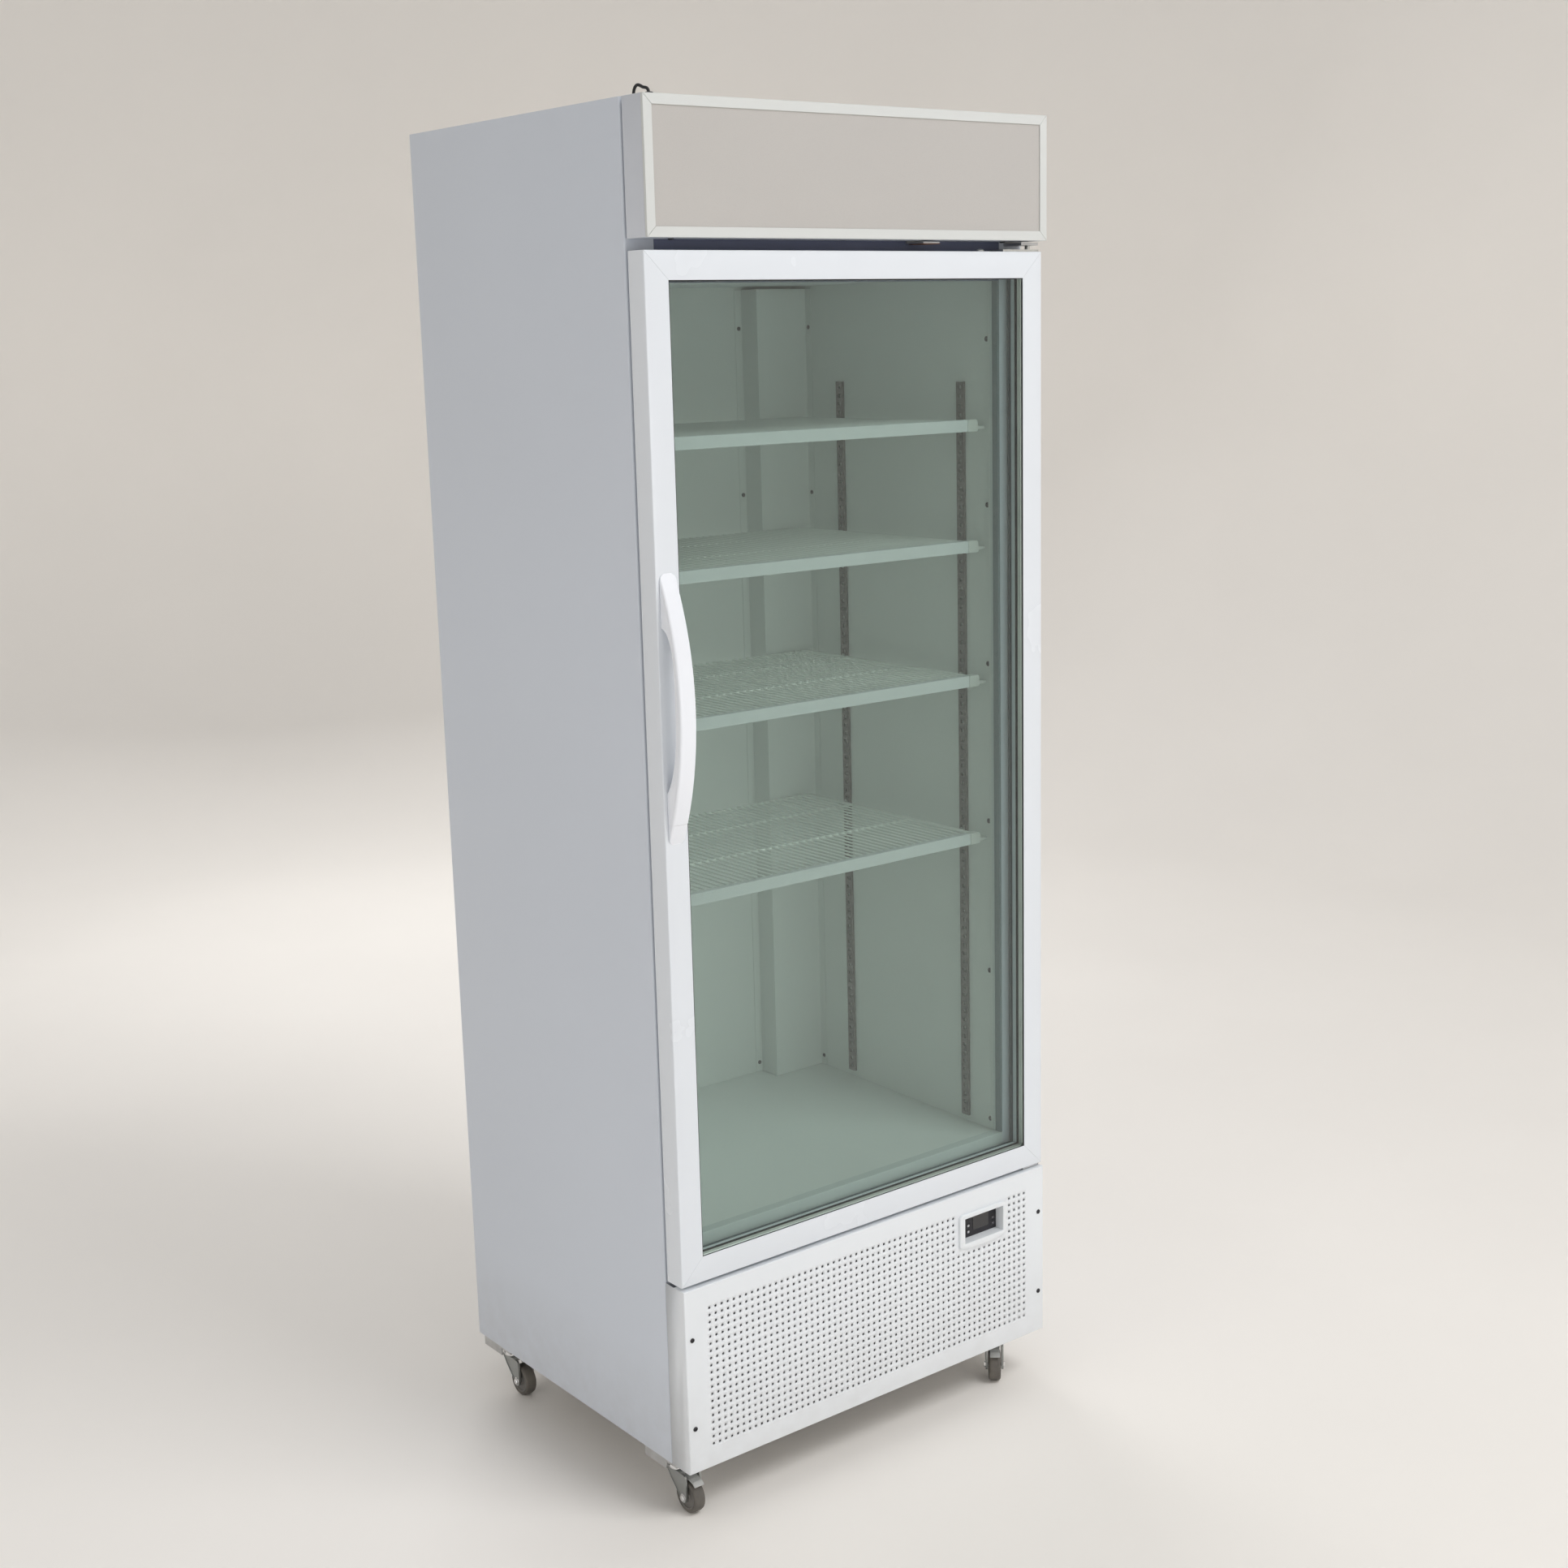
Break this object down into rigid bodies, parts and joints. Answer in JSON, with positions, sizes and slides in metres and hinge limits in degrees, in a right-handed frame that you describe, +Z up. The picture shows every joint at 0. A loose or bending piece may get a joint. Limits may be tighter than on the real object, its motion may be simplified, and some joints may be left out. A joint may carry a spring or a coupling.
{
  "type": "glass door merchandiser",
  "caption": "Upright refrigerated display cabinet on casters, with a full-height glazed door, a bow handle, wire shelves, a header lightbox and a perforated lower panel.",
  "frame": {"origin": "on the floor, under the middle of the object's box", "axes": "+Z up, the door and the lower panel face -Y, +X to the viewer's right when facing the door"},
  "size_m": [0.71, 0.635, 1.9946],
  "materials": {
    "white_steel": "smooth white powder coat, satin",
    "side_skin": "white coated steel skin, satin",
    "galvanised": "bright zinc-coated steel",
    "liner_white": "white coated liner sheet",
    "rim_plastic": "grey-blue extruded trim",
    "foam": "foamed-in polyurethane",
    "screw_steel": "black finish",
    "rail_steel": "dark grey-brown coating",
    "shelf_wire": "white plastic-dipped wire",
    "coil_aluminium": "bare fins, copper-coloured bends",
    "motor_steel": "black paint",
    "fan_plastic": "moulded black plastic",
    "lamp_glass": "opal diffuser",
    "door_white": "white coated aluminium extrusion, satin",
    "lightbox_acrylic": "translucent acrylic, unlit",
    "cable_black": "matte black cable sheath",
    "bezel_white": "moulded white plastic",
    "display_black": "black moulding with a smooth window",
    "key_grey": "soft grey keys",
    "tray_plastic": "black moulded tray",
    "glass": "clear toughened double glazing",
    "spacer_aluminium": "mill finish hollow spacer",
    "gasket": "pale grey magnetic seal",
    "handle_plastic": "moulded white plastic, fine texture",
    "caster_zinc": "bright zinc plating",
    "caster_tread": "black rubber on a grey hub",
    "pedal_grey": "light grey moulded pedal"
  },
  "bodies": {
    "root": {"lower_panel": "white_steel", "lightbox_housing": "white_steel", "roof_panel": "white_steel", "side_panel_left": "side_skin", "side_panel_right": "side_skin", "rear_panel": "side_skin", "rear_grille": "galvanised", "base_tray": "galvanised", "condenser_shroud": "galvanised", "hinge_brackets": "galvanised", "caster_brackets": "galvanised", "inner_liner": "liner_white", "duct_cover": "liner_white", "evaporator_cover": "liner_white", "front_rim": "rim_plastic", "insulation": "foam", "screws": "screw_steel", "shelf_rails": "rail_steel", "shelf_clips": "rail_steel", "shelf_1": "shelf_wire", "shelf_2": "shelf_wire", "shelf_3": "shelf_wire", "shelf_4": "shelf_wire", "evaporator_coil": "coil_aluminium", "condenser_coil": "coil_aluminium", "evaporator_fan_motor": "motor_steel", "condenser_fan_motor": "motor_steel", "compressor": "motor_steel", "interior_lamp": "lamp_glass", "lightbox_lamp": "lamp_glass", "lightbox_frame": "door_white", "lightbox_panel": "lightbox_acrylic", "lamp_lead": "cable_black", "display_bezel": "bezel_white", "controller": "display_black", "power_inlet": "display_black", "drip_tray": "tray_plastic"},
    "door": {"door_frame": "door_white", "glass_panes": "glass", "glass_spacer": "spacer_aluminium", "door_gasket": "gasket", "handle": "handle_plastic", "handle_cap": "handle_plastic", "hinge_plate": "galvanised"},
    "key_light": {"key_light": "key_grey"},
    "key_set": {"key_set": "key_grey"},
    "key_up": {"key_up": "key_grey"},
    "key_down": {"key_down": "key_grey"},
    "evaporator_fan": {"evaporator_fan_blades": "fan_plastic"},
    "condenser_fan": {"condenser_fan_blades": "fan_plastic"},
    "swivel_fl": {"caster_fork_fl": "caster_zinc"},
    "wheel_fl": {"wheel_fl": "caster_tread"},
    "swivel_fr": {"caster_fork_fr": "caster_zinc"},
    "wheel_fr": {"wheel_fr": "caster_tread"},
    "swivel_rl": {"caster_fork_rl": "caster_zinc"},
    "wheel_rl": {"wheel_rl": "caster_tread"},
    "swivel_rr": {"caster_fork_rr": "caster_zinc"},
    "wheel_rr": {"wheel_rr": "caster_tread"},
    "brake_fl": {"brake_fl": "pedal_grey"},
    "brake_fr": {"brake_fr": "pedal_grey"}
  },
  "joints": [
    {"name": "door_swing", "type": "hinge", "parent": "root", "child": "door", "pos_m": [0.34, -0.2645, 1.078], "axis": [0, 0, 1], "range_deg": [0, 110]},
    {"name": "key_light_press", "type": "slide", "parent": "root", "child": "key_light", "axis": [0, 1, 0], "range_m": [0, 0.0006], "stiffness_N_per_m": 400},
    {"name": "key_set_press", "type": "slide", "parent": "root", "child": "key_set", "axis": [0, 1, 0], "range_m": [0, 0.0006], "stiffness_N_per_m": 400},
    {"name": "key_up_press", "type": "slide", "parent": "root", "child": "key_up", "axis": [0, 1, 0], "range_m": [0, 0.0006], "stiffness_N_per_m": 400},
    {"name": "key_down_press", "type": "slide", "parent": "root", "child": "key_down", "axis": [0, 1, 0], "range_m": [0, 0.0006], "stiffness_N_per_m": 400},
    {"name": "evaporator_fan_spin", "type": "hinge", "parent": "root", "child": "evaporator_fan", "pos_m": [-0.06, -0.0125, 1.781], "axis": [0, 0, 1], "continuous": true},
    {"name": "condenser_fan_spin", "type": "hinge", "parent": "root", "child": "condenser_fan", "pos_m": [-0.15, -0.1545, 0.205], "axis": [0, 1, 0], "continuous": true},
    {"name": "swivel_fl_turn", "type": "hinge", "parent": "root", "child": "swivel_fl", "pos_m": [-0.333, -0.2245, 0.066], "axis": [0, 0, 1], "continuous": true},
    {"name": "wheel_fl_roll", "type": "hinge", "parent": "swivel_fl", "child": "wheel_fl", "pos_m": [-0.333, -0.2495, 0.025], "axis": [1, 0, 0], "continuous": true},
    {"name": "swivel_fr_turn", "type": "hinge", "parent": "root", "child": "swivel_fr", "pos_m": [0.295, -0.2285, 0.066], "axis": [0, 0, 1], "continuous": true},
    {"name": "wheel_fr_roll", "type": "hinge", "parent": "swivel_fr", "child": "wheel_fr", "pos_m": [0.2786, -0.24737, 0.025], "axis": [0.7547, -0.6561, 0], "continuous": true},
    {"name": "swivel_rl_turn", "type": "hinge", "parent": "root", "child": "swivel_rl", "pos_m": [-0.333, 0.2415, 0.066], "axis": [0, 0, 1], "continuous": true},
    {"name": "wheel_rl_roll", "type": "hinge", "parent": "swivel_rl", "child": "wheel_rl", "pos_m": [-0.333, 0.2165, 0.025], "axis": [1, 0, 0], "continuous": true},
    {"name": "swivel_rr_turn", "type": "hinge", "parent": "root", "child": "swivel_rr", "pos_m": [0.295, 0.2415, 0.066], "axis": [0, 0, 1], "continuous": true},
    {"name": "wheel_rr_roll", "type": "hinge", "parent": "swivel_rr", "child": "wheel_rr", "pos_m": [0.30934, 0.22102, 0.025], "axis": [0.8192, 0.5736, 0], "continuous": true},
    {"name": "brake_fl_press", "type": "hinge", "parent": "swivel_fl", "child": "brake_fl", "pos_m": [-0.333, -0.2455, 0.055], "axis": [1, 0, 0], "range_deg": [0, 11]},
    {"name": "brake_fr_press", "type": "hinge", "parent": "swivel_fr", "child": "brake_fr", "pos_m": [0.28122, -0.24435, 0.055], "axis": [0.7547, -0.6561, 0], "range_deg": [0, 11]}
  ]
}
